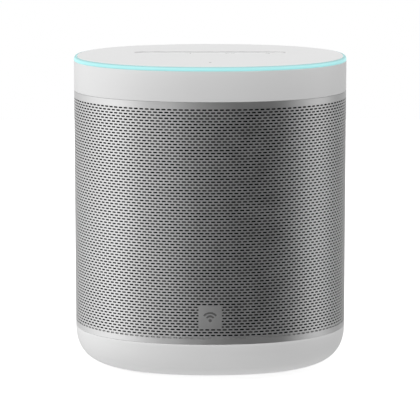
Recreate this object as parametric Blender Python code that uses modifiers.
"""Smart speaker: an oval tower with a perforated sleeve, a light ring and a touch top.

Sizes are in millimetres, and MM turns them into metres as each mesh is made.
X runs to the right of the front, the front faces -Y, and the speaker stands on Z = 0.
An inset is a distance in from the oval footprint, so nested shells share its shape.
"""

import math

import bmesh
import bpy
from mathutils import Matrix, Vector

MM = 0.001

# Overall shape
WIDTH = 131.0
DEPTH = 104.0
HEIGHT = 151.0
OUTLINE_POWER = 2.17
OUTLINE_POINTS = 32
FIT = 0.3

# Stack of the outside pieces
FOOT_PROUD = 1.6
BASE_SEAM = 20.1
TOP_BAND_HEIGHT = 16.5
SPIGOT_HEIGHT = 3.0
GRILLE_THICKNESS = 0.7
CLOTH_THICKNESS = 0.4

# Base bowl and foot
BASE_WALL = 2.6
BASE_FLOOR = 2.6
BOWL_FILLET_RUN = 19.5
BOWL_FILLET_POWER = 2.45
FOOT_INSET = 26.0
FOOT_WIDTH = 6.5
FOOT_GROOVE_DEPTH = 1.0
FOOT_GROOVE_SIDE_GAP = 0.5
BASE_BOSS_RADIUS = 4.0
BASE_SCREW_SEAT = 8.0
BASE_BOSS_TOP = 14.7

# Inner frame
FRAME_WALL = 2.0
FLANGE_THICKNESS = 2.0
FLANGE_INSET = 33.0
FRAME_BOSS_RADIUS = 3.6
FRAME_WINDOW_MARGIN = 5.6
REAR_WINDOW_HALF = 24.0
WINDOW_REACH = 2.0
SIDE_WINDOW_SPAN = (4.0, 26.0)
CABLE_NOTCH_HALF = 11.0
CABLE_NOTCH_EDGE = 19.0
CABLE_NOTCH_RUN = 13.0

# Top band, light guide and touch panel
BAND_WALL = 2.4
DECK_THICKNESS = 2.0
LIGHT_DROP = 0.1
LIGHT_RADIUS = 1.15
LIGHT_HEIGHT = 1.85
LIGHT_LEDGE_DROP = 1.2
LIGHT_LEG_THICKNESS = 1.5
LIGHT_LEG_DROP = 4.4
PANEL_THICKNESS = 2.0
PANEL_RIM = 0.9
PANEL_PLUG_GAP = 0.7
TOUCH_HALF_LENGTH = 36.8
TOUCH_HALF_WIDTH = 4.6
TOUCH_Y = 11.5
TOUCH_DEPTH = 1.0
MIC_SETBACK = 20.0
MIC_HOLE_RADIUS = 0.7

# Electronics under the top
BOARD_THICKNESS = 1.2
LED_BOARD_OUTER_INSET = 2.9
LED_BOARD_INNER_INSET = 15.0
LED_INSET = 4.7
LED_SIZE = 2.4
LED_COUNT = 12
LED_HEIGHT = 1.1
LED_POST_INSET = 9.0
LED_POST_RADIUS = 2.5
STAKE_RADIUS = 1.0
TOUCH_BOARD_THICKNESS = 1.0
TOUCH_BOARD_MARGIN = (1.2, 3.4)
MIC_GASKET_RADIUS = 2.8
MIC_GASKET_HEIGHT = 2.0
MIC_BOARD_SIZE = (10.0, 6.0, 0.8)
MIC_CAN_SIZE = (4.0, 3.0, 1.0)
ANTENNA_INSET = 5.4
ANTENNA_HALF_LENGTH = 12.0
ANTENNA_HEIGHT = 5.4
ANTENNA_THICKNESS = 0.8

# Speaker enclosure
ENCLOSURE_INSET = 5.2
ENCLOSURE_WALL = 2.6
BAFFLE_THICKNESS = 3.0
BAFFLE_SETBACK = 16.0
REAR_BAY = 22.0
SPLIT_SETBACK = 14.0
GASKET_THICKNESS = 0.8
ISOLATOR_HEIGHT = 1.2
ISOLATOR_WIDTH = 7.0
ISOLATOR_MARGIN = 5.0
ISOLATOR_FROM_SIDE = 3.3
ENCLOSURE_SCREW_FROM_SIDE = 6.05
ENCLOSURE_SCREW_FROM_END = 9.0
TUNNEL_RADIUS = 4.0
TUNNEL_BORE = 3.0
TUNNEL_SEAT = 10.0
ENCLOSURE_BOSS_RADIUS = 3.8
ENCLOSURE_BOSS_BITE = 3.0

# Driver, with heights measured forwards from the baffle
DRIVER_STEPS = 20
DRIVER_HOLE_RADIUS = 31.2
FLANGE_RADIUS = DRIVER_HOLE_RADIUS + 3.3
EAR_CIRCLE = DRIVER_HOLE_RADIUS + 5.3
EAR_RADIUS = 4.2
EAR_SPAN = (1.45, 2.55)
FRONT_WINDOW_HALF = FLANGE_RADIUS + 1.5
DRIVER_BOSS_RADIUS = 3.6
DRIVER_BOSS_DEPTH = 9.0
ROLL_CIRCLE = 27.4
ROLL_RADIUS = 3.0
ROLL_THICKNESS = 0.6
SURROUND_LIP = 1.8
SURROUND_FOOT = 2.9
CONE_RIM_RADIUS = ROLL_CIRCLE - ROLL_RADIUS - 0.2
COIL_RADIUS = 9.9
COIL_WALL = 0.4
COIL_OUTER_RADIUS = COIL_RADIUS + COIL_WALL
WINDING_RADIUS = COIL_OUTER_RADIUS + 0.4
CAP_RIM_RADIUS = 12.0
CAP_APEX = -1.2
CAP_RISE = 3.05
CAP_WALL = 0.4
SPIDER_OUTER_RADIUS = 22.8
SPIDER_HEIGHT = -8.3
SPIDER_WAVE = 0.35
SPIDER_THICKNESS = 0.4
SPIDER_STEPS = 8
DRIVER_SCREW_SEAT = 2.6
DRIVER_SCREW_REACH = 9.0
TERMINAL_BOX = ((-6, -30, -13.5), (6, -23.2, -12.3))
BASKET_WINDOW_HALF = 8.0
BASKET_WINDOW_REACH = (20.0, 34.0)
BASKET_WINDOW_SPAN = (-8.6, -1.0)

# Driver profiles, as pairs of radius and height forwards from the baffle
BASKET_PROFILE = [
    (FLANGE_RADIUS, 2.6),
    (31.2, 2.6),
    (29.0, 0.2),
    (28.2, -5.0),
    (23.5, -9.2),
    (21.5, -9.2),
    (20.5, -15.2),
    (12.2, -15.2),
    (12.2, -16.4),
    (21.6, -16.4),
    (22.6, -10.4),
    (24.0, -10.4),
    (29.4, -5.4),
    (30.0, -0.4),
    (30.6, 1.4),
    (FLANGE_RADIUS, 1.4),
]
GASKET_PROFILE = [
    (FLANGE_RADIUS, 1.1),
    (FLANGE_RADIUS, FIT),
    (DRIVER_HOLE_RADIUS + FIT, FIT),
    (DRIVER_HOLE_RADIUS + FIT, 1.1),
]
CONE_PROFILE = [
    (CONE_RIM_RADIUS, 2.6),
    (22.8, 2.6),
    (10.6, -6.2),
    (10.6, -7.0),
    (22.9, 2.0),
    (CONE_RIM_RADIUS, 2.0),
]
COIL_PROFILE = [
    (COIL_RADIUS, -5.6),
    (COIL_OUTER_RADIUS, -5.6),
    (COIL_OUTER_RADIUS, -14.0),
    (WINDING_RADIUS, -14.0),
    (WINDING_RADIUS, -19.0),
    (COIL_RADIUS, -19.0),
]
FRONT_PLATE_PROFILE = [(19.0, -16.7), (19.0, -20.2), (11.1, -20.2), (11.1, -16.7)]
MAGNET_PROFILE = [(21.0, -20.5), (21.0, -28.5), (13.0, -28.5), (13.0, -20.5)]
YOKE_PROFILE = [
    (0, -16.9),
    (COIL_RADIUS - 0.5, -16.9),
    (COIL_RADIUS - 0.5, -28.8),
    (20, -28.8),
    (20, -32.3),
    (0, -32.3),
]

# Electronics bay behind the enclosure, and the power inlet
MAIN_BOARD_HALF = 30.0
MAIN_BOARD_CLEARANCES = (20.8, 13.4)
MAIN_BOARD_THICKNESS = 1.6
BOARD_STANDOFF = 4.9
BOARD_STANDOFF_RADIUS = 3.0
BOARD_POST_X = 25.0
BOARD_POST_FROM_EDGE = 4.0
SHIELD_SHARE = 15 / 33
THERMAL_PAD_SHARE = 12 / 33
HEAT_SINK_SHARE = 19 / 33
SHIELD_HALF = 15.0
SHIELD_HEIGHT = 2.5
THERMAL_PAD_HALF = 12.0
THERMAL_PAD_THICKNESS = 1.0
HEAT_SINK_HALF = 22.0
HEAT_SINK_PLATE = 1.5
FIN_HALF = 0.6
FIN_HEIGHT = 2.3
FIN_PITCH = 5
FIN_REACH = 20
FIN_MARGIN = 1.0
SOCKET_HALF = 4.0
SOCKET_SPAN = (2.0, 8.0)
SOCKET_DEPTH = 5.0
SPEAKER_LEAD_X = -8.0
DC_LEAD_X = 9.0
RIBBON_SOCKET_HALF = 8.0
RIBBON_SOCKET_SPAN = (10.0, 5.0)
RIBBON_SOCKET_DEPTH = 2.2
RIBBON_HALF = 6.0
RIBBON_HALF_THICKNESS = 0.15
RIBBON_SETBACK = 2.7
RIBBON_JOG = 2.0
INLET_BELOW_SEAM = 7.6
INLET_BORE = 5.0
INLET_COLLAR = 6.6
JACK_COLLAR = 4.2
JACK_BORE = 3.1
JACK_PIN = 1.0
JACK_BORE_DEPTH = 9.5
JACK_BODY_HALF = 4.6
JACK_BODY_LENGTH = 12.0
JACK_COLLAR_LENGTH = 1.7
JACK_WALL_GAP = 1.064
POWER_BOARD_HALF = 14.0
POWER_BOARD_LENGTH = 18.0
POWER_BOARD_BEHIND_JACK = 6.48
POWER_POST_HEIGHT = 1.5
POWER_POST_RADIUS = 1.5
POWER_POST_FROM_EDGE = 2.0
POWER_POST_STEPS = (-8.0, 3.0)
POWER_SOCKET_FROM_REAR = 11.0
POWER_SOCKET_HALF = 3.0
POWER_SOCKET_HEIGHT = 1.1
GROMMET_ABOVE_FOOT = 8.8
GROMMET_RADIUS = 3.0
GROMMET_FLANGE_RADIUS = 4.6
GROMMET_FLANGE_TOP = 1.5
GROMMET_BORE = 1.8
LEAD_RADIUS = 1.1
LEAD_END_GAP = 0.45
BAY_MIDDLE = 10.5

# Screws: head radius, head height, shank radius
CASE_SCREW = (2.6, 1.8, 1.3)
BOARD_SCREW = (2.0, 1.4, 1.0)
SCREW_STEPS = 8

# Levels and insets that follow from the sizes above
CAP_SEAM = HEIGHT - TOP_BAND_HEIGHT
BOWL_RIM = BASE_SEAM - FIT / 2
BAND_FOOT = CAP_SEAM + FIT / 2
SLEEVE_SPAN = (BASE_SEAM + FIT / 2, CAP_SEAM - FIT / 2)
SPIGOT_INSET = GRILLE_THICKNESS + FIT
LOWER_SPIGOT_TOP = BASE_SEAM + SPIGOT_HEIGHT
UPPER_SPIGOT_FOOT = CAP_SEAM - SPIGOT_HEIGHT
FRAME_FOOT = LOWER_SPIGOT_TOP + FIT
FRAME_HEAD = UPPER_SPIGOT_FOOT - FIT
FRAME_INSET = SPIGOT_INSET + CLOTH_THICKNESS + FIT
SCREW_INSET = FOOT_INSET + FOOT_WIDTH / 2
MIC_Y = -DEPTH / 2 + MIC_SETBACK
DECK_FOOT = CAP_SEAM + FIT
DECK_TOP = DECK_FOOT + DECK_THICKNESS
LIGHT_TOP = HEIGHT - LIGHT_DROP
LIGHT_FOOT = LIGHT_TOP - LIGHT_HEIGHT
LIGHT_LEDGE = HEIGHT - LIGHT_LEDGE_DROP
LIGHT_LEG_INSET = BAND_WALL + FIT
LIGHT_LEG_FOOT = HEIGHT - LIGHT_LEG_DROP
PANEL_INSET = LIGHT_RADIUS + FIT
PANEL_FOOT = HEIGHT - PANEL_THICKNESS
LED_TOP = LIGHT_LEG_FOOT - FIT
LED_BOARD_FOOT = LED_TOP - LED_HEIGHT - BOARD_THICKNESS
BAFFLE_Y = -DEPTH / 2 + BAFFLE_SETBACK
REAR_WALL_Y = DEPTH / 2 - REAR_BAY
SPLIT_Y = BAFFLE_Y + SPLIT_SETBACK
ENCLOSURE_FOOT = FRAME_FOOT + FLANGE_THICKNESS + ISOLATOR_HEIGHT + 2 * FIT
ENCLOSURE_HEAD = FRAME_HEAD - FLANGE_THICKNESS - ISOLATOR_HEIGHT - 2 * FIT
DRIVER_Z = (ENCLOSURE_FOOT + ENCLOSURE_HEAD) / 2
GROMMET_Z = ENCLOSURE_FOOT + GROMMET_ABOVE_FOOT
GROMMET_PLACE = (SPEAKER_LEAD_X, GROMMET_Z)
MAIN_BOARD_FOOT = ENCLOSURE_FOOT + MAIN_BOARD_CLEARANCES[0]
MAIN_BOARD_HEAD = ENCLOSURE_HEAD - MAIN_BOARD_CLEARANCES[1]
MAIN_BOARD_SPAN = (MAIN_BOARD_FOOT, MAIN_BOARD_HEAD)
INLET_HEIGHT = BASE_SEAM - INLET_BELOW_SEAM
EAR_OFFSET = EAR_CIRCLE * math.sqrt(0.5)
BOARD_FACE_Y = REAR_WALL_Y + BOARD_STANDOFF + FIT
BOARD_BACK_Y = BOARD_FACE_Y + MAIN_BOARD_THICKNESS
CABLE_NOTCH_START = DEPTH / 2 - CABLE_NOTCH_EDGE
HOLE_RADIUS = CASE_SCREW[2] + FIT
POWER_BOARD_FOOT = FOOT_PROUD + BASE_FLOOR + POWER_POST_HEIGHT + FIT
POWER_BOARD_TOP = POWER_BOARD_FOOT + BOARD_THICKNESS
JACK_BODY_FOOT = POWER_BOARD_TOP + FIT
JACK_DROP = (BOWL_RIM - JACK_BODY_FOOT) / (BOWL_RIM - FOOT_PROUD - BASE_FLOOR)
JACK_WALL_LEAN = 1 - (1 - JACK_DROP**BOWL_FILLET_POWER) ** (1 / BOWL_FILLET_POWER)
JACK_WALL_INSET = BASE_WALL + (BOWL_FILLET_RUN - BASE_WALL) * JACK_WALL_LEAN
JACK_BODY_REAR_Y = DEPTH / 2 - JACK_WALL_INSET - JACK_WALL_GAP
JACK_FACE_Y = JACK_BODY_REAR_Y + JACK_COLLAR_LENGTH
JACK_BODY_FRONT_Y = JACK_BODY_REAR_Y - JACK_BODY_LENGTH
POWER_BOARD_REAR_Y = JACK_BODY_FRONT_Y + POWER_BOARD_BEHIND_JACK
POWER_SOCKET_Y = POWER_BOARD_REAR_Y - POWER_SOCKET_FROM_REAR

AXES = {"X": Vector((1, 0, 0)), "Y": Vector((0, 1, 0)), "Z": Vector((0, 0, 1))}


# Outlines ------------------------------------------------------------------


def outline_point(inset, angle):
    """A point of the oval footprint moved in by inset, at an angle about its centre."""
    exponent = 2 / OUTLINE_POWER
    across, along = math.cos(angle), math.sin(angle)
    x = (WIDTH / 2 - inset) * math.copysign(abs(across) ** exponent, across)
    y = (DEPTH / 2 - inset) * math.copysign(abs(along) ** exponent, along)
    return x, y


def outline(inset):
    """The oval footprint moved in by inset."""
    turn = 2 * math.pi / OUTLINE_POINTS
    return [outline_point(inset, step * turn) for step in range(OUTLINE_POINTS)]


def corner_points(inset):
    """The four diagonal points of the oval at an inset."""
    return [outline_point(inset, math.radians(45 + 90 * turn)) for turn in range(4)]


def half_width_at(y, inset):
    """Half the oval's width at a depth y."""
    share = abs(y) / (DEPTH / 2 - inset)
    return (WIDTH / 2 - inset) * (1 - share**OUTLINE_POWER) ** (1 / OUTLINE_POWER)


def half_depth_at(x, inset):
    """Half the oval's depth at a width x."""
    share = abs(x) / (WIDTH / 2 - inset)
    return (DEPTH / 2 - inset) * (1 - share**OUTLINE_POWER) ** (1 / OUTLINE_POWER)


def clipped_outline(inset, front, rear, steps=8):
    """The oval at an inset, cut straight across at two depths."""
    depths = [front + (rear - front) * step / steps for step in range(steps + 1)]
    right = [(half_width_at(y, inset), y) for y in depths]
    return right + [(-x, y) for x, y in reversed(right)]


def rectangle(low, high):
    """The four corners of a rectangle."""
    return [(low[0], low[1]), (high[0], low[1]), (high[0], high[1]), (low[0], high[1])]


def stadium(half_length, half_width, centre_y, steps=8):
    """A pill outline along X, with round ends."""
    reach = half_length - half_width
    points = []
    for side in (1, -1):
        for step in range(steps + 1):
            angle = math.pi / 2 * (2 * step / steps - 1)
            points.append(
                (
                    side * (reach + half_width * math.cos(angle)),
                    centre_y + side * half_width * math.sin(angle),
                )
            )
    return points


def arc(centre, radius, start, end, steps):
    """Points on an arc between two angles in degrees."""
    angles = [math.radians(start + (end - start) * step / steps) for step in range(steps + 1)]
    return [
        (centre[0] + radius * math.cos(a), centre[1] + radius * math.sin(a)) for a in angles
    ]


def bowl_fillet(inset, run, top, foot, steps):
    """The bowl's round wall as (inset, height), from its rim down to its floor."""
    exponent = 2 / BOWL_FILLET_POWER
    angles = [math.pi / 2 * step / steps for step in range(steps + 1)]
    return [
        (
            inset + run * (1 - max(math.cos(a), 0.0) ** exponent),
            top - (top - foot) * math.sin(a) ** exponent,
        )
        for a in angles
    ]


# Solids --------------------------------------------------------------------


def in_space(point, level, axis):
    """A flat point at a level along an axis: X, Y and Z keep their order."""
    place = list(point)
    place.insert("XYZ".index(axis), level)
    return Vector(place)


def add_skin(bm, loops, closed):
    """Adds faces over loops of points. A closed skin joins its last loop to its first."""
    rows = [[bm.verts.new(point) for point in loop] for loop in loops]
    pairs = list(zip(rows, rows[1:]))
    if closed:
        pairs.append((rows[-1], rows[0]))
    else:
        bm.faces.new(rows[0])
        bm.faces.new(rows[-1])
    count = len(rows[0])
    for lower, upper in pairs:
        for index in range(count):
            following = (index + 1) % count
            bm.faces.new((lower[index], lower[following], upper[following], upper[index]))
    bmesh.ops.triangulate(bm, faces=bm.faces)


def loft(sections, closed=True):
    """A solid over oval outlines of (inset, height)."""
    bm = bmesh.new()
    add_skin(bm, [[(x, y, z) for x, y in outline(inset)] for inset, z in sections], closed)
    return bm


def frame_solid(outer, inner, low, high, axis):
    """A flat ring between two outlines with as many points, from low to high along an axis."""
    bm = bmesh.new()
    rows = [(outer, low), (outer, high), (inner, high), (inner, low)]
    add_skin(bm, [[in_space(p, level, axis) for p in line] for line, level in rows], True)
    return bm


def add_prism(bm, points, low, high, axis="Z"):
    """Adds a flat outline drawn out from low to high along an axis."""
    face = bm.faces.new([bm.verts.new(in_space(point, low, axis)) for point in points])
    drawn = bmesh.ops.extrude_face_region(bm, geom=[face])["geom"]
    moved = [item for item in drawn if isinstance(item, bmesh.types.BMVert)]
    bmesh.ops.translate(bm, vec=AXES[axis] * (high - low), verts=moved)
    return bm


def add_box(bm, low, high):
    """Adds a box between two corners."""
    low, high = Vector(low), Vector(high)
    size = Matrix.Diagonal((*(high - low), 1))
    bmesh.ops.create_cube(bm, size=1, matrix=Matrix.Translation((low + high) / 2) @ size)
    return bm


def add_rod(bm, radius, place, low, high, axis="Z", sides=8):
    """Adds a round rod through a flat place, from low to high along an axis."""
    centre = in_space(place, (low + high) / 2, axis)
    aim = AXES["Z"].rotation_difference(AXES[axis]).to_matrix().to_4x4()
    bmesh.ops.create_cone(
        bm,
        cap_ends=True,
        segments=sides,
        radius1=radius,
        radius2=radius,
        depth=high - low,
        matrix=Matrix.Translation(centre) @ aim,
    )
    return bm


def rods(radius, places, low, high, axis="Z", sides=8):
    """Rods of one size through several places."""
    bm = bmesh.new()
    for place in places:
        add_rod(bm, radius, place, low, high, axis, sides)
    return bm


def box(low, high):
    """One box."""
    return add_box(bmesh.new(), low, high)


def prism(points, low, high, axis="Z"):
    """One prism."""
    return add_prism(bmesh.new(), points, low, high, axis)


# Objects -------------------------------------------------------------------


def finish(name, colour, roughness, metallic=0.0, glow=0.0):
    """A plain material."""
    material = bpy.data.materials.new(name)
    material.use_nodes = True
    shader = material.node_tree.nodes["Principled BSDF"]
    shader.inputs["Base Color"].default_value = (*colour, 1)
    shader.inputs["Roughness"].default_value = roughness
    shader.inputs["Metallic"].default_value = metallic
    if glow:
        shader.inputs["Emission Color"].default_value = (*colour, 1)
        shader.inputs["Emission Strength"].default_value = glow
    return material


def link(name, data, collection, parent=None):
    """Makes an object and puts it in a collection."""
    made = bpy.data.objects.new(name, data)
    made.parent = parent
    collection.objects.link(made)
    return made


def mesh_of(name, bm):
    """The mesh of a shape in millimetres, with its faces pointing out."""
    bmesh.ops.recalc_face_normals(bm, faces=bm.faces)
    bmesh.ops.scale(bm, vec=(MM, MM, MM), verts=bm.verts)
    mesh = bpy.data.meshes.new(name)
    bm.to_mesh(mesh)
    bm.free()
    return mesh


def piece(name, bm, material, parent=None):
    """Makes a piece of the speaker from a shape."""
    made = link(name, mesh_of(name, bm), PARTS, parent)
    made.data.materials.append(material)
    return made


def combine(target, operation, bm):
    """Joins a shape to a piece with UNION, cuts it away with DIFFERENCE, or keeps INTERSECT."""
    name = f"{target.name}_{operation.lower()}_{len(target.modifiers)}"
    tool = link(name, mesh_of(name, bm), CUTTERS, target.parent)
    tool.hide_render = True
    tool.display_type = "WIRE"
    modifier = target.modifiers.new(name, "BOOLEAN")
    modifier.operation = operation
    modifier.object = tool
    return tool


def turn(made, steps):
    """Turns a profile about its own Z axis into a solid."""
    modifier = made.modifiers.new("turn", "SCREW")
    modifier.steps = modifier.render_steps = steps
    modifier.use_merge_vertices = True
    modifier.merge_threshold = 0.00001
    modifier.use_smooth_shade = True
    return made


def profile_mesh(name, points):
    """A turning profile of (radius, height). It runs down its outer side, and closes off the axis."""
    reached = points + [points[0]]
    area = sum(a[0] * b[1] - b[0] * a[1] for a, b in zip(reached, reached[1:]))
    ordered = list(points) if area < 0 else list(reversed(points))
    on_axis = ordered[0][0] == 0 or ordered[-1][0] == 0
    while on_axis and not (ordered[0][0] == 0 and ordered[-1][0] == 0):
        ordered.append(ordered.pop(0))
    edges = [(index, index + 1) for index in range(len(ordered) - 1)]
    if not on_axis:
        edges.append((len(ordered) - 1, 0))
    mesh = bpy.data.meshes.new(name)
    mesh.from_pydata([(x * MM, 0, z * MM) for x, z in ordered], edges, [])
    return mesh


def turned(name, points, material, parent, steps=DRIVER_STEPS):
    """Makes a turned piece."""
    made = link(name, profile_mesh(name, points), PARTS, parent)
    made.data.materials.append(material)
    return turn(made, steps)


def smooth_route(points, steps=3):
    """Points along a smooth curve through the given ones."""
    marks = [Vector(point) for point in points]
    marks = [2 * marks[0] - marks[1], *marks, 2 * marks[-1] - marks[-2]]
    route = []
    for before, start, end, after in zip(marks, marks[1:], marks[2:], marks[3:]):
        for step in range(steps):
            t = step / steps
            bend = 2 * before - 5 * start + 4 * end - after
            twist = 3 * (start - end) + after - before
            route.append(start + ((end - before) * t + bend * t**2 + twist * t**3) / 2)
    return [*route, marks[-2]]


def lead(name, points, material):
    """Makes an insulated lead along a route."""
    curve = bpy.data.curves.new(name, "CURVE")
    curve.dimensions = "3D"
    curve.bevel_depth = LEAD_RADIUS * MM
    curve.bevel_resolution = 2
    curve.use_fill_caps = True
    route = smooth_route(points)
    spline = curve.splines.new("POLY")
    spline.points.add(len(route) - 1)
    for place, point in zip(spline.points, route):
        place.co = (*(point * MM), 1)
    curve.materials.append(material)
    return link(name, curve, PARTS)


def screws(name, places, size, reach, aim, material, parent=None):
    """Makes a set of screws with heads that face along aim, each seated at its place."""
    head_radius, head_height, shank_radius = size
    profile = [
        (0, head_height),
        (head_radius, head_height),
        (head_radius, 0),
        (shank_radius, 0),
        (shank_radius, -reach),
        (0, -reach),
    ]
    mesh = profile_mesh(name, profile)
    mesh.materials.append(material)
    for number, place in enumerate(places, 1):
        made = link(f"{name}_{number}", mesh, PARTS, parent)
        made.location = (Vector(place) + Vector(aim) * FIT) * MM
        made.rotation_euler = AXES["Z"].rotation_difference(Vector(aim)).to_euler()
        turn(made, SCREW_STEPS)


# Base ----------------------------------------------------------------------


def build_base(paint, rubber, steel):
    """The bowl, its foot ring, and the screws that hold the bowl to the frame."""
    floor_top = FOOT_PROUD + BASE_FLOOR
    inner = bowl_fillet(BASE_WALL, BOWL_FILLET_RUN - BASE_WALL, BOWL_RIM, floor_top, 5)
    outer = bowl_fillet(0, BOWL_FILLET_RUN, BOWL_RIM, FOOT_PROUD, 7)
    rim = [(BASE_WALL, LOWER_SPIGOT_TOP), (SPIGOT_INSET, LOWER_SPIGOT_TOP), (SPIGOT_INSET, BOWL_RIM)]
    bowl = piece("base_bowl", loft(inner[::-1] + rim + outer, closed=False), paint)
    corners = corner_points(SCREW_INSET)
    collar = combine(
        bowl,
        "UNION",
        rods(INLET_COLLAR, [(0, INLET_HEIGHT)], JACK_FACE_Y + FIT, DEPTH / 2, "Y", 24),
    )
    wall_middle = BASE_WALL / 2
    trim = bowl_fillet(
        wall_middle, BOWL_FILLET_RUN - wall_middle, BOWL_RIM, FOOT_PROUD + BASE_FLOOR / 2, 6
    )
    combine(collar, "INTERSECT", loft(trim, closed=False))
    bosses = rods(BASE_BOSS_RADIUS, corners, floor_top - 1, BASE_BOSS_TOP)
    post_x = POWER_BOARD_HALF - POWER_POST_FROM_EDGE
    post_top = floor_top + POWER_POST_HEIGHT
    for x in (-post_x, post_x):
        for step in POWER_POST_STEPS:
            place = (x, JACK_BODY_FRONT_Y + step)
            add_rod(bosses, POWER_POST_RADIUS, place, floor_top - 1, post_top)
    combine(bowl, "UNION", bosses)
    groove_outer = FOOT_INSET - FOOT_GROOVE_SIDE_GAP
    groove_inner = FOOT_INSET + FOOT_WIDTH + FOOT_GROOVE_SIDE_GAP
    groove_top = FOOT_PROUD + FOOT_GROOVE_DEPTH
    groove = [(groove_outer, 0), (groove_outer, groove_top), (groove_inner, groove_top)]
    combine(bowl, "DIFFERENCE", loft([*groove, (groove_inner, 0)]))
    combine(bowl, "DIFFERENCE", rods(CASE_SCREW[0] + 0.4, corners, 0, BASE_SCREW_SEAT))
    combine(bowl, "DIFFERENCE", rods(HOLE_RADIUS, corners, 1, BASE_BOSS_TOP + 1, sides=8))
    combine(
        bowl,
        "DIFFERENCE",
        rods(INLET_BORE, [(0, INLET_HEIGHT)], JACK_FACE_Y - 2, DEPTH / 2 + 1, "Y", 24),
    )
    foot_top = groove_top - FIT
    foot_inner = FOOT_INSET + FOOT_WIDTH
    foot = [(FOOT_INSET, 0), (FOOT_INSET, foot_top), (foot_inner, foot_top), (foot_inner, 0)]
    piece("foot_ring", loft(foot), rubber)
    seats = [(x, y, BASE_SCREW_SEAT) for x, y in corners]
    reach = FRAME_FOOT - 1 - BASE_SCREW_SEAT
    screws("base_screw", seats, CASE_SCREW, reach, (0, 0, -1), steel)


# Sleeve, cloth and frame ---------------------------------------------------


def sleeve_solid(inset, thickness, low, high):
    """An oval tube."""
    return loft([(inset, low), (inset, high), (inset + thickness, high), (inset + thickness, low)])


def build_sleeve(aluminium, cloth, plastic):
    """The grille sleeve, the acoustic cloth behind it, and the frame that carries both."""
    piece("grille_sleeve", sleeve_solid(0, GRILLE_THICKNESS, *SLEEVE_SPAN), aluminium)
    cloth_tube = sleeve_solid(SPIGOT_INSET, CLOTH_THICKNESS, FRAME_FOOT, FRAME_HEAD)
    piece("acoustic_cloth", cloth_tube, cloth)
    wall_inner = FRAME_INSET + FRAME_WALL
    frame = piece(
        "inner_frame",
        loft(
            [
                (FRAME_INSET, FRAME_FOOT),
                (FRAME_INSET, FRAME_HEAD),
                (FLANGE_INSET, FRAME_HEAD),
                (FLANGE_INSET, FRAME_HEAD - FLANGE_THICKNESS),
                (wall_inner, FRAME_HEAD - FLANGE_THICKNESS),
                (wall_inner, FRAME_FOOT + FLANGE_THICKNESS),
                (FLANGE_INSET, FRAME_FOOT + FLANGE_THICKNESS),
                (FLANGE_INSET, FRAME_FOOT),
            ]
        ),
        plastic,
    )
    corners = corner_points(SCREW_INSET)
    bosses = rods(FRAME_BOSS_RADIUS, corners, BASE_BOSS_TOP + FIT, FRAME_FOOT + 1)
    for place in corners:
        add_rod(bosses, FRAME_BOSS_RADIUS, place, FRAME_HEAD - 1, DECK_FOOT - FIT)
    combine(frame, "UNION", bosses)
    pilots = rods(HOLE_RADIUS, corners, BASE_BOSS_TOP, FRAME_FOOT, sides=8)
    for place in corners:
        add_rod(pilots, HOLE_RADIUS, place, FRAME_HEAD - FLANGE_THICKNESS - 1, DECK_FOOT, sides=8)
    combine(frame, "DIFFERENCE", pilots)
    low = FRAME_FOOT + FLANGE_THICKNESS + FRAME_WINDOW_MARGIN
    high = FRAME_HEAD - FLANGE_THICKNESS - FRAME_WINDOW_MARGIN
    front = half_depth_at(FRONT_WINDOW_HALF, wall_inner) - WINDOW_REACH
    rear = half_depth_at(REAR_WINDOW_HALF, wall_inner) - WINDOW_REACH
    side = half_width_at(SIDE_WINDOW_SPAN[1], wall_inner) - WINDOW_REACH
    windows = box((-FRONT_WINDOW_HALF, -DEPTH, low), (FRONT_WINDOW_HALF, -front, high))
    add_box(windows, (-REAR_WINDOW_HALF, rear, low), (REAR_WINDOW_HALF, DEPTH, high))
    for near, far in ((side, WIDTH), (-WIDTH, -side)):
        for start, end in (SIDE_WINDOW_SPAN, (-SIDE_WINDOW_SPAN[1], -SIDE_WINDOW_SPAN[0])):
            add_box(windows, (near, start, low), (far, end, high))
    combine(frame, "DIFFERENCE", windows)
    notches = cable_notch(FRAME_FOOT - 1, FRAME_FOOT + FLANGE_THICKNESS + 1)
    add_notch(notches, FRAME_HEAD - FLANGE_THICKNESS - 1, FRAME_HEAD + 1)
    combine(frame, "DIFFERENCE", notches)


def add_notch(bm, low, high):
    """Adds the gap that the leads pass through, at the back of a flange or the deck."""
    end = CABLE_NOTCH_START + CABLE_NOTCH_RUN
    return add_box(bm, (-CABLE_NOTCH_HALF, CABLE_NOTCH_START, low), (CABLE_NOTCH_HALF, end, high))


def cable_notch(low, high):
    """One cable notch."""
    return add_notch(bmesh.new(), low, high)


# Top -----------------------------------------------------------------------


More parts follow.
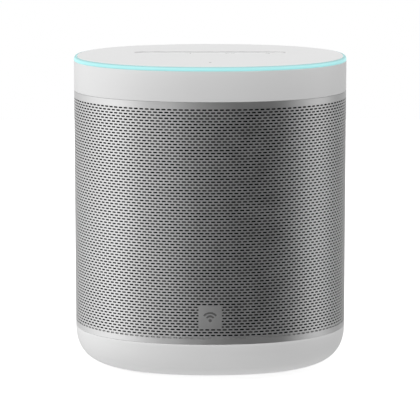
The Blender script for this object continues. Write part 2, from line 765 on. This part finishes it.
def build_top_band(paint, steel):
    """The cap's side band with its deck, and the screws that hold it to the frame."""
    band_top = LIGHT_FOOT - FIT
    band = piece(
        "top_band",
        loft(
            [
                (0, BAND_FOOT),
                (0, band_top),
                (BAND_WALL, band_top),
                (BAND_WALL, DECK_TOP),
                (FLANGE_INSET, DECK_TOP),
                (FLANGE_INSET, DECK_FOOT),
                (BASE_WALL, DECK_FOOT),
                (BASE_WALL, UPPER_SPIGOT_FOOT),
                (SPIGOT_INSET, UPPER_SPIGOT_FOOT),
                (SPIGOT_INSET, BAND_FOOT),
            ]
        ),
        paint,
    )
    posts = corner_points(LED_POST_INSET)
    combine(band, "UNION", rods(LED_POST_RADIUS, posts, DECK_TOP - 1, LED_BOARD_FOOT - FIT))
    stake_top = LED_BOARD_FOOT + BOARD_THICKNESS + 2 * FIT
    combine(band, "UNION", rods(STAKE_RADIUS, posts, DECK_TOP, stake_top, sides=8))
    corners = corner_points(SCREW_INSET)
    combine(band, "DIFFERENCE", rods(HOLE_RADIUS, corners, DECK_FOOT - 1, DECK_TOP + 1, sides=8))
    combine(band, "DIFFERENCE", cable_notch(DECK_FOOT - 1, DECK_TOP + 1))
    seats = [(x, y, DECK_TOP) for x, y in corners]
    reach = DECK_TOP + FIT - (FRAME_HEAD - FLANGE_THICKNESS / 2)
    screws("cap_screw", seats, CASE_SCREW, reach, (0, 0, 1), steel)


def build_light_guide(glow):
    """The clear ring: a round lit edge, a ledge under the panel, and a leg over the LEDs."""
    edge = arc((LIGHT_RADIUS, LIGHT_TOP - LIGHT_RADIUS), LIGHT_RADIUS, 180, 90, 4)
    leg_inner = LIGHT_LEG_INSET + LIGHT_LEG_THICKNESS
    inside = [
        (LIGHT_RADIUS, LIGHT_LEDGE),
        (leg_inner, LIGHT_LEDGE),
        (leg_inner, LIGHT_LEG_FOOT),
        (LIGHT_LEG_INSET, LIGHT_LEG_FOOT),
        (LIGHT_LEG_INSET, LIGHT_FOOT),
    ]
    piece("light_guide", loft([(0, LIGHT_FOOT), *edge, *inside]), glow)


def build_top_panel(paint):
    """The flat top with its touch recess and microphone hole."""
    plug_inset = LIGHT_LEG_INSET + LIGHT_LEG_THICKNESS + PANEL_PLUG_GAP
    rim_foot = HEIGHT - PANEL_RIM
    sections = [
        (PANEL_INSET, HEIGHT),
        (PANEL_INSET, rim_foot),
        (plug_inset, rim_foot),
        (plug_inset, PANEL_FOOT),
    ]
    panel = piece("top_panel", loft(sections, closed=False), paint)
    recess = stadium(TOUCH_HALF_LENGTH, TOUCH_HALF_WIDTH, TOUCH_Y)
    combine(panel, "DIFFERENCE", prism(recess, HEIGHT - TOUCH_DEPTH, HEIGHT + 1))
    hole = rods(MIC_HOLE_RADIUS, [(0, MIC_Y)], PANEL_FOOT - 1, HEIGHT + 1, sides=8)
    combine(panel, "DIFFERENCE", hole)


def build_top_electronics(board, rubber, steel, ribbon):
    """The LED ring board, touch board, microphone, antennas and the ribbon to the main board."""
    board_top = LED_BOARD_FOOT + BOARD_THICKNESS
    leds = sleeve_solid(
        LED_BOARD_OUTER_INSET,
        LED_BOARD_INNER_INSET - LED_BOARD_OUTER_INSET,
        LED_BOARD_FOOT,
        board_top,
    )
    led_board = piece("led_board", leds, board)
    packages = bmesh.new()
    for number in range(LED_COUNT):
        angle = 2 * math.pi * (number + 0.5) / LED_COUNT
        x, y = outline_point(LED_INSET, angle)
        half = LED_SIZE / 2
        add_box(packages, (x - half, y - half, board_top - 0.5), (x + half, y + half, LED_TOP))
    combine(led_board, "UNION", packages)
    stakes = corner_points(LED_POST_INSET)
    combine(
        led_board,
        "DIFFERENCE",
        rods(STAKE_RADIUS + FIT, stakes, LED_BOARD_FOOT - 1, board_top + 1, sides=8),
    )
    touch_top = PANEL_FOOT - FIT
    touch = stadium(
        TOUCH_HALF_LENGTH + TOUCH_BOARD_MARGIN[0],
        TOUCH_HALF_WIDTH + TOUCH_BOARD_MARGIN[1],
        TOUCH_Y,
    )
    piece("touch_board", prism(touch, touch_top - TOUCH_BOARD_THICKNESS, touch_top), board)
    build_microphone(board, rubber)
    antenna_x = WIDTH / 2 - ANTENNA_INSET
    low = DECK_TOP + FIT
    for name, x in (("antenna_left", -antenna_x), ("antenna_right", antenna_x)):
        half = ANTENNA_THICKNESS / 2
        corner = (x - half, -ANTENNA_HALF_LENGTH, low)
        piece(
            name,
            box(corner, (x + half, ANTENNA_HALF_LENGTH, low + ANTENNA_HEIGHT)),
            steel,
        )
    build_ribbon(ribbon)


def build_microphone(board, rubber):
    """The microphone board with its can, and the rubber tube that seals it to the panel."""
    place = [(0, MIC_Y)]
    gasket_top = PANEL_FOOT - FIT
    gasket_foot = gasket_top - MIC_GASKET_HEIGHT
    tube = rods(MIC_GASKET_RADIUS, place, gasket_foot, gasket_top)
    gasket = piece("mic_gasket", tube, rubber)
    bore = rods(MIC_HOLE_RADIUS + 0.1, place, gasket_foot - 1, gasket_top + 1, sides=8)
    combine(gasket, "DIFFERENCE", bore)
    length, width, thickness = MIC_BOARD_SIZE
    can_length, can_width, can_height = MIC_CAN_SIZE
    top = gasket_foot - FIT
    foot = top - thickness
    mic = piece(
        "mic_board",
        box((-length / 2, MIC_Y - width / 2, foot), (length / 2, MIC_Y + width / 2, top)),
        board,
    )
    can = box(
        (-can_length / 2, MIC_Y - can_width / 2, foot - can_height),
        (can_length / 2, MIC_Y + can_width / 2, foot + thickness / 2),
    )
    combine(mic, "UNION", can)


def build_ribbon(ribbon):
    """A flat cable from the LED board down to the main board."""
    half = RIBBON_HALF_THICKNESS
    lower_y = BOARD_BACK_Y + RIBBON_SETBACK
    upper_y = lower_y + RIBBON_JOG
    connector_top = MAIN_BOARD_HEAD - RIBBON_SOCKET_SPAN[1]
    connector_middle = MAIN_BOARD_HEAD - sum(RIBBON_SOCKET_SPAN) / 2
    route = [
        (upper_y, LED_BOARD_FOOT - FIT),
        (upper_y, connector_top + 9),
        (lower_y, connector_top + 3),
        (lower_y, connector_middle),
    ]
    strip = [(y - half, z) for y, z in route] + [(y + half, z) for y, z in reversed(route)]
    piece("top_ribbon", prism(strip, -RIBBON_HALF, RIBBON_HALF, "X"), ribbon)


# Enclosure -----------------------------------------------------------------


def ear_places(centre=(0.0, 0.0)):
    """The four driver screw places about a centre."""
    return [
        (centre[0] + x, centre[1] + y)
        for x in (-EAR_OFFSET, EAR_OFFSET)
        for y in (-EAR_OFFSET, EAR_OFFSET)
    ]


def enclosure_screw_places():
    """The four places of the screws that close the enclosure, in X and Z."""
    heights = (
        ENCLOSURE_FOOT + ENCLOSURE_SCREW_FROM_END,
        ENCLOSURE_HEAD - ENCLOSURE_SCREW_FROM_END,
    )
    reach = half_width_at(BAFFLE_Y, ENCLOSURE_INSET) - ENCLOSURE_SCREW_FROM_SIDE
    return [(x, z) for x in (-reach, reach) for z in heights]


def enclosure_shell(name, front, rear, open_rear, material):
    """A half of the enclosure: a straight-sided oval box, open where the halves meet."""
    shell = piece(
        name,
        prism(clipped_outline(ENCLOSURE_INSET, front, rear), ENCLOSURE_FOOT, ENCLOSURE_HEAD),
        material,
    )
    if open_rear:
        front, rear = front + BAFFLE_THICKNESS, rear + 1
    else:
        front, rear = front - 1, rear - ENCLOSURE_WALL
    inside = clipped_outline(ENCLOSURE_INSET + ENCLOSURE_WALL, front, rear)
    low, high = ENCLOSURE_FOOT + ENCLOSURE_WALL, ENCLOSURE_HEAD - ENCLOSURE_WALL
    combine(shell, "DIFFERENCE", prism(inside, low, high))
    return shell


def build_enclosure(plastic, foam, steel):
    """The sealed box behind the driver, in two halves with a gasket, on foam rings."""
    joint_gap = GASKET_THICKNESS / 2 + FIT
    front_rear = SPLIT_Y - joint_gap
    places = enclosure_screw_places()
    ears = ear_places((0, DRIVER_Z))
    front = enclosure_shell("enclosure_front", BAFFLE_Y, front_rear, True, plastic)
    inner_face = BAFFLE_Y + BAFFLE_THICKNESS
    bosses = rods(DRIVER_BOSS_RADIUS, ears, inner_face - 1, BAFFLE_Y + DRIVER_BOSS_DEPTH, "Y")
    for place in places:
        add_rod(bosses, ENCLOSURE_BOSS_RADIUS, place, inner_face - 1, front_rear, "Y")
    combine(front, "UNION", bosses)
    combine(
        front,
        "DIFFERENCE",
        rods(DRIVER_HOLE_RADIUS, [(0, DRIVER_Z)], BAFFLE_Y - 1, inner_face + 1, "Y", 32),
    )
    pilots = rods(
        HOLE_RADIUS, ears, BAFFLE_Y - 1, BAFFLE_Y + DRIVER_BOSS_DEPTH - 1, "Y", sides=8
    )
    for place in places:
        add_rod(pilots, HOLE_RADIUS, place, inner_face + 1, front_rear + 1, "Y", sides=8)
    combine(front, "DIFFERENCE", pilots)

    rear_front = SPLIT_Y + joint_gap
    rear = enclosure_shell("enclosure_rear", rear_front, REAR_WALL_Y, False, plastic)
    combine(rear, "UNION", rods(TUNNEL_RADIUS, places, rear_front, REAR_WALL_Y - 1, "Y"))
    combine(
        rear,
        "UNION",
        rods(
            BOARD_STANDOFF_RADIUS, board_posts(), REAR_WALL_Y - 1, REAR_WALL_Y + BOARD_STANDOFF, "Y"
        ),
    )
    seat = SPLIT_Y + TUNNEL_SEAT
    bores = rods(TUNNEL_BORE, places, seat, REAR_WALL_Y + 1, "Y")
    add_rod(bores, GROMMET_RADIUS + FIT, GROMMET_PLACE, REAR_WALL_Y - 4, REAR_WALL_Y + 1, "Y")
    combine(rear, "DIFFERENCE", bores)
    holes = rods(HOLE_RADIUS, places, rear_front - 1, seat + 1, "Y", sides=8)
    for place in board_posts():
        reach = REAR_WALL_Y + BOARD_STANDOFF
        add_rod(holes, BOARD_SCREW[2] + FIT, place, REAR_WALL_Y + 1, reach + 1, "Y", sides=8)
    combine(rear, "DIFFERENCE", holes)
    seats = [(x, seat, z) for x, z in places]
    reach = seat - FIT - (inner_face + ENCLOSURE_BOSS_BITE)
    screws("enclosure_screw", seats, CASE_SCREW, reach, (0, 1, 0), steel)
    build_enclosure_seals(foam, joint_gap)


def build_enclosure_seals(foam, joint_gap):
    """The gasket between the enclosure's halves, and the foam rings above and below it."""
    half = half_width_at(SPLIT_Y - joint_gap, ENCLOSURE_INSET)
    corner = Vector((half, ENCLOSURE_HEAD))
    low = Vector((-half, ENCLOSURE_FOOT))
    wall = Vector((ENCLOSURE_WALL, ENCLOSURE_WALL))
    gasket = frame_solid(
        rectangle(low, corner),
        rectangle(low + wall, corner - wall),
        SPLIT_Y - GASKET_THICKNESS / 2,
        SPLIT_Y + GASKET_THICKNESS / 2,
        "Y",
    )
    piece("enclosure_gasket", gasket, foam)
    front = BAFFLE_Y + ISOLATOR_MARGIN
    half = half_width_at(front, ENCLOSURE_INSET) - ISOLATOR_FROM_SIDE
    low = Vector((-half, front))
    corner = Vector((half, REAR_WALL_Y - ISOLATOR_MARGIN))
    band = Vector((ISOLATOR_WIDTH, ISOLATOR_WIDTH))
    lower = FRAME_FOOT + FLANGE_THICKNESS + FIT
    for name, foot in (("isolator_lower", lower), ("isolator_upper", ENCLOSURE_HEAD + FIT)):
        ring = frame_solid(
            rectangle(low, corner),
            rectangle(low + band, corner - band),
            foot,
            foot + ISOLATOR_HEIGHT,
            "Z",
        )
        piece(name, ring, foam)


def board_posts():
    """The main board's four posts, in X and Z."""
    heights = (
        MAIN_BOARD_SPAN[0] + BOARD_POST_FROM_EDGE,
        MAIN_BOARD_SPAN[1] - BOARD_POST_FROM_EDGE,
    )
    return [(x, z) for x in (-BOARD_POST_X, BOARD_POST_X) for z in heights]


# Driver --------------------------------------------------------------------


def driver_axis_empty():
    """An empty on the driver's axis, at the baffle. Its Z points forwards, out of the front."""
    empty = link("driver_axis", None, PARTS)
    empty.location = Vector((0, BAFFLE_Y, DRIVER_Z)) * MM
    empty.rotation_euler = (math.radians(90), 0, 0)
    return empty


def build_driver(steel, black, rubber, paper, magnet, copper, foam, board):
    """The driver: a basket with its motor, and the cone assembly that moves in it."""
    axis = driver_axis_empty()
    turned("driver_gasket", GASKET_PROFILE, foam, axis)
    build_basket(axis, black)
    turned("driver_surround", surround_profile(), rubber, axis)
    turned("driver_cone", CONE_PROFILE, paper, axis)
    turned("driver_dust_cap", dust_cap_profile(), paper, axis)
    turned("voice_coil", COIL_PROFILE, copper, axis)
    turned("driver_spider", spider_profile(COIL_OUTER_RADIUS + FIT), foam, axis)
    turned("magnet_front_plate", FRONT_PLATE_PROFILE, steel, axis)
    turned("magnet_ring", MAGNET_PROFILE, magnet, axis)
    turned("magnet_yoke", YOKE_PROFILE, steel, axis)
    piece("driver_terminals", box(*TERMINAL_BOX), board, axis)
    seats = [(x, y, DRIVER_SCREW_SEAT) for x, y in ear_places()]
    screws("driver_screw", seats, CASE_SCREW, DRIVER_SCREW_REACH, (0, 0, 1), steel, axis)


def build_basket(axis, black):
    """The pressed basket: a flange with four ears, a windowed wall and the spider's shelf."""
    basket = turned("driver_basket", BASKET_PROFILE, black, axis)
    combine(basket, "UNION", rods(EAR_RADIUS, ear_places(), *EAR_SPAN))
    combine(basket, "DIFFERENCE", rods(HOLE_RADIUS, ear_places(), 0, 4, sides=8))
    near, far = BASKET_WINDOW_REACH
    low, high = BASKET_WINDOW_SPAN
    half = BASKET_WINDOW_HALF
    windows = bmesh.new()
    for start, end in ((near, far), (-far, -near)):
        add_box(windows, (start, -half, low), (end, half, high))
        add_box(windows, (-half, start, low), (half, end, high))
    combine(basket, "DIFFERENCE", windows)


def surround_profile():
    """The surround's half roll between two flat lips."""
    low = SURROUND_FOOT
    high = low + ROLL_THICKNESS
    outer = ROLL_RADIUS + ROLL_THICKNESS / 2
    inner = ROLL_RADIUS - ROLL_THICKNESS / 2
    centre = (ROLL_CIRCLE, low)
    dip = math.degrees(math.asin(ROLL_THICKNESS / outer))
    start, end = ROLL_CIRCLE - ROLL_RADIUS - SURROUND_LIP, ROLL_CIRCLE + ROLL_RADIUS + SURROUND_LIP
    top = arc(centre, outer, 180 - dip, dip, 6)
    underside = arc(centre, inner, 0, 180, 6)
    return [(start, high), *top, (end, high), (end, low), *underside, (start, low)]


def dust_cap_profile():
    """A shallow dome with a wall of even thickness."""
    apex = CAP_APEX
    radius = (CAP_RIM_RADIUS**2 + CAP_RISE**2) / (2 * CAP_RISE)
    spread = math.degrees(math.asin(CAP_RIM_RADIUS / radius))
    outer = arc((0, apex - radius), radius, 90, 90 - spread, 5)
    inner = arc((0, apex - radius), radius - CAP_WALL, 90 - spread, 90, 5)
    return [(0, apex), *outer[1:], *inner[:-1], (0, apex - CAP_WALL)]


def spider_profile(inner):
    """A corrugated disc of two waves."""
    half = SPIDER_THICKNESS / 2
    top = []
    for step in range(SPIDER_STEPS + 1):
        share = step / SPIDER_STEPS
        radius = inner + (SPIDER_OUTER_RADIUS - inner) * share
        top.append((radius, SPIDER_HEIGHT + half + SPIDER_WAVE * math.sin(4 * math.pi * share)))
    return top + [(radius, z - 2 * half) for radius, z in reversed(top)]


# Electronics bay -----------------------------------------------------------


def add_socket(bm, x, half, low, high, depth):
    """Adds a socket on the back of the main board."""
    return add_box(
        bm, (x - half, BOARD_BACK_Y - 0.5, low), (x + half, BOARD_BACK_Y + depth, high)
    )


def upright_box(half, front, rear, share):
    """A box behind the main board, about its middle and as high as a share of it."""
    middle = (MAIN_BOARD_FOOT + MAIN_BOARD_HEAD) / 2
    reach = (MAIN_BOARD_HEAD - MAIN_BOARD_FOOT) / 2 * share
    return box((-half, front, middle - reach), (half, rear, middle + reach))


def build_main_board(board, steel, pad, aluminium):
    """The main board on its posts, with its shield, thermal pad and finned heat sink."""
    low, high = MAIN_BOARD_SPAN
    half = MAIN_BOARD_HALF
    main = piece(
        "main_board", box((-half, BOARD_FACE_Y, low), (half, BOARD_BACK_Y, high)), board
    )
    sockets = bmesh.new()
    for x in (SPEAKER_LEAD_X, DC_LEAD_X):
        foot, head = low + SOCKET_SPAN[0], low + SOCKET_SPAN[1]
        add_socket(sockets, x, SOCKET_HALF, foot, head, SOCKET_DEPTH)
    foot, head = high - RIBBON_SOCKET_SPAN[0], high - RIBBON_SOCKET_SPAN[1]
    add_socket(sockets, 0, RIBBON_SOCKET_HALF, foot, head, RIBBON_SOCKET_DEPTH)
    combine(main, "UNION", sockets)
    posts = board_posts()
    holes = rods(
        BOARD_SCREW[2] + FIT, posts, BOARD_FACE_Y - 1, BOARD_BACK_Y + 1, "Y", sides=8
    )
    combine(main, "DIFFERENCE", holes)
    shield_face = BOARD_BACK_Y + FIT
    shield_back = shield_face + SHIELD_HEIGHT
    piece("shield_can", upright_box(SHIELD_HALF, shield_face, shield_back, SHIELD_SHARE), steel)
    pad_face = shield_back + FIT
    pad_back = pad_face + THERMAL_PAD_THICKNESS
    soft = upright_box(THERMAL_PAD_HALF, pad_face, pad_back, THERMAL_PAD_SHARE)
    piece("thermal_pad", soft, pad)
    plate_face = pad_back + FIT
    plate_back = plate_face + HEAT_SINK_PLATE
    plate = upright_box(HEAT_SINK_HALF, plate_face, plate_back, HEAT_SINK_SHARE)
    sink = piece("heat_sink", plate, aluminium)
    middle = (low + high) / 2
    reach = (high - low) / 2 * HEAT_SINK_SHARE - FIN_MARGIN
    fins = bmesh.new()
    for x in range(-FIN_REACH, FIN_REACH + 1, FIN_PITCH):
        add_box(
            fins,
            (x - FIN_HALF, plate_back - 0.5, middle - reach),
            (x + FIN_HALF, plate_back + FIN_HEIGHT, middle + reach),
        )
    combine(sink, "UNION", fins)
    seats = [(x, BOARD_BACK_Y, z) for x, z in (posts[1], posts[2])]
    screws("board_screw", seats, BOARD_SCREW, BOARD_STANDOFF + 0.5, (0, 1, 0), steel)


def build_power(board, black):
    """The power board in the bowl, and the jack that faces out of the back."""
    rear = POWER_BOARD_REAR_Y
    front = rear - POWER_BOARD_LENGTH
    half = POWER_BOARD_HALF
    power = piece(
        "power_board",
        box((-half, front, POWER_BOARD_FOOT), (half, rear, POWER_BOARD_TOP)),
        board,
    )
    reach = POWER_SOCKET_HALF
    socket = box(
        (DC_LEAD_X - reach, POWER_SOCKET_Y - reach, POWER_BOARD_TOP - 0.5),
        (DC_LEAD_X + reach, POWER_SOCKET_Y + reach, POWER_BOARD_TOP + POWER_SOCKET_HEIGHT),
    )
    combine(power, "UNION", socket)
    low = JACK_BODY_FOOT
    high = 2 * INLET_HEIGHT - low
    jack = piece(
        "dc_jack",
        box(
            (-JACK_BODY_HALF, JACK_BODY_FRONT_Y, low),
            (JACK_BODY_HALF, JACK_BODY_REAR_Y, high),
        ),
        black,
    )
    centre = [(0, INLET_HEIGHT)]
    collar = rods(JACK_COLLAR, centre, JACK_BODY_REAR_Y - 1, JACK_FACE_Y, "Y", 24)
    combine(jack, "UNION", collar)
    bottom = JACK_FACE_Y - JACK_BORE_DEPTH
    combine(jack, "DIFFERENCE", rods(JACK_BORE, centre, bottom, JACK_FACE_Y + 1, "Y", 24))
    combine(jack, "UNION", rods(JACK_PIN, centre, bottom - 1, JACK_FACE_Y - FIT, "Y", 12))


def build_leads(black, rubber):
    """The two leads from the main board, and the grommet that seals one into the enclosure."""
    x, z = GROMMET_PLACE
    socket_z = MAIN_BOARD_FOOT + SOCKET_SPAN[0] - LEAD_END_GAP
    socket_y = BOARD_BACK_Y + SOCKET_DEPTH / 2
    terminal_y = BAFFLE_Y - TERMINAL_BOX[0][2]
    terminal_z = DRIVER_Z + (TERMINAL_BOX[0][1] + TERMINAL_BOX[1][1]) / 2
    inside_z = (z + 4, terminal_z - 3)
    lead(
        "speaker_lead",
        [
            (x, socket_y, socket_z),
            (x, BOARD_BACK_Y + 1.7, z + 6),
            (x, REAR_WALL_Y + 6, z + 1),
            (x, REAR_WALL_Y + 3, z),
            (x, REAR_WALL_Y - 4, z),
            (x, REAR_WALL_Y - 10, z + 0.3),
            (x * 3 / 4, SPLIT_Y + 22, inside_z[0]),
            (x / 4, SPLIT_Y + 10, inside_z[1]),
            (0, terminal_y + 4, terminal_z),
            (0, terminal_y + LEAD_END_GAP, terminal_z),
        ],
        black,
    )
    bay_y = DEPTH / 2 - BAY_MIDDLE
    lead(
        "dc_lead",
        [
            (DC_LEAD_X, POWER_SOCKET_Y, POWER_BOARD_TOP + POWER_SOCKET_HEIGHT + LEAD_END_GAP),
            (DC_LEAD_X, POWER_SOCKET_Y, POWER_BOARD_TOP + 7),
            (DC_LEAD_X, CABLE_NOTCH_START - 2, BASE_SEAM),
            (DC_LEAD_X, CABLE_NOTCH_START + 5, FRAME_FOOT + 1),
            (DC_LEAD_X, bay_y, ENCLOSURE_FOOT + 5.8),
            (DC_LEAD_X, bay_y - 1.5, (ENCLOSURE_FOOT + 5.8 + 3 * socket_z) / 4 - 3.4),
            (DC_LEAD_X, socket_y, socket_z),
        ],
        black,
    )
    wall_face = REAR_WALL_Y - ENCLOSURE_WALL
    sleeve = rods(GROMMET_RADIUS, [GROMMET_PLACE], wall_face, REAR_WALL_Y + 1, "Y")
    grommet = piece("lead_grommet", sleeve, rubber)
    flange_foot, flange_top = REAR_WALL_Y + FIT, REAR_WALL_Y + GROMMET_FLANGE_TOP
    flange = rods(GROMMET_FLANGE_RADIUS, [GROMMET_PLACE], flange_foot, flange_top, "Y")
    combine(grommet, "UNION", flange)
    bore = rods(GROMMET_BORE, [GROMMET_PLACE], REAR_WALL_Y - 4, REAR_WALL_Y + 4, "Y", sides=8)
    combine(grommet, "DIFFERENCE", bore)


# Build ---------------------------------------------------------------------


def collection(name):
    """A new collection in the scene."""
    made = bpy.data.collections.new(name)
    bpy.context.scene.collection.children.link(made)
    return made


for old in list(bpy.data.objects):
    bpy.data.objects.remove(old, do_unlink=True)

PARTS = collection("smart_speaker")
CUTTERS = collection("cutters")


def main():
    """Builds the speaker."""
    white = finish("white_paint", (0.86, 0.86, 0.85), 0.42)
    silver = finish("silver_sleeve", (0.62, 0.62, 0.61), 0.38, 0.9)
    glow = finish("lit_ring", (0.25, 0.85, 0.9), 0.2, glow=2.0)
    rubber = finish("dark_rubber", (0.04, 0.04, 0.045), 0.8)
    black = finish("black_plastic", (0.03, 0.03, 0.032), 0.5)
    cloth = finish("black_cloth", (0.015, 0.015, 0.016), 0.95)
    steel = finish("steel", (0.6, 0.6, 0.6), 0.35, 1.0)
    aluminium = finish("aluminium", (0.75, 0.75, 0.76), 0.4, 1.0)
    board = finish("green_board", (0.03, 0.16, 0.07), 0.45)
    foam = finish("grey_foam", (0.12, 0.12, 0.12), 0.95)
    paper = finish("black_paper", (0.05, 0.05, 0.055), 0.85)
    magnet = finish("dark_magnet", (0.1, 0.1, 0.1), 0.6)
    copper = finish("copper_coil", (0.7, 0.33, 0.16), 0.35, 0.8)
    pad = finish("thermal_pad", (0.45, 0.5, 0.58), 0.8)
    ribbon = finish("ribbon_cable", (0.75, 0.72, 0.62), 0.6)
    build_base(white, rubber, steel)
    build_sleeve(silver, cloth, black)
    build_top_band(white, steel)
    build_light_guide(glow)
    build_top_panel(white)
    build_top_electronics(board, rubber, steel, ribbon)
    build_enclosure(black, foam, steel)
    build_driver(steel, black, rubber, paper, magnet, copper, foam, board)
    build_main_board(board, steel, pad, aluminium)
    build_power(board, black)
    build_leads(black, rubber)


main()
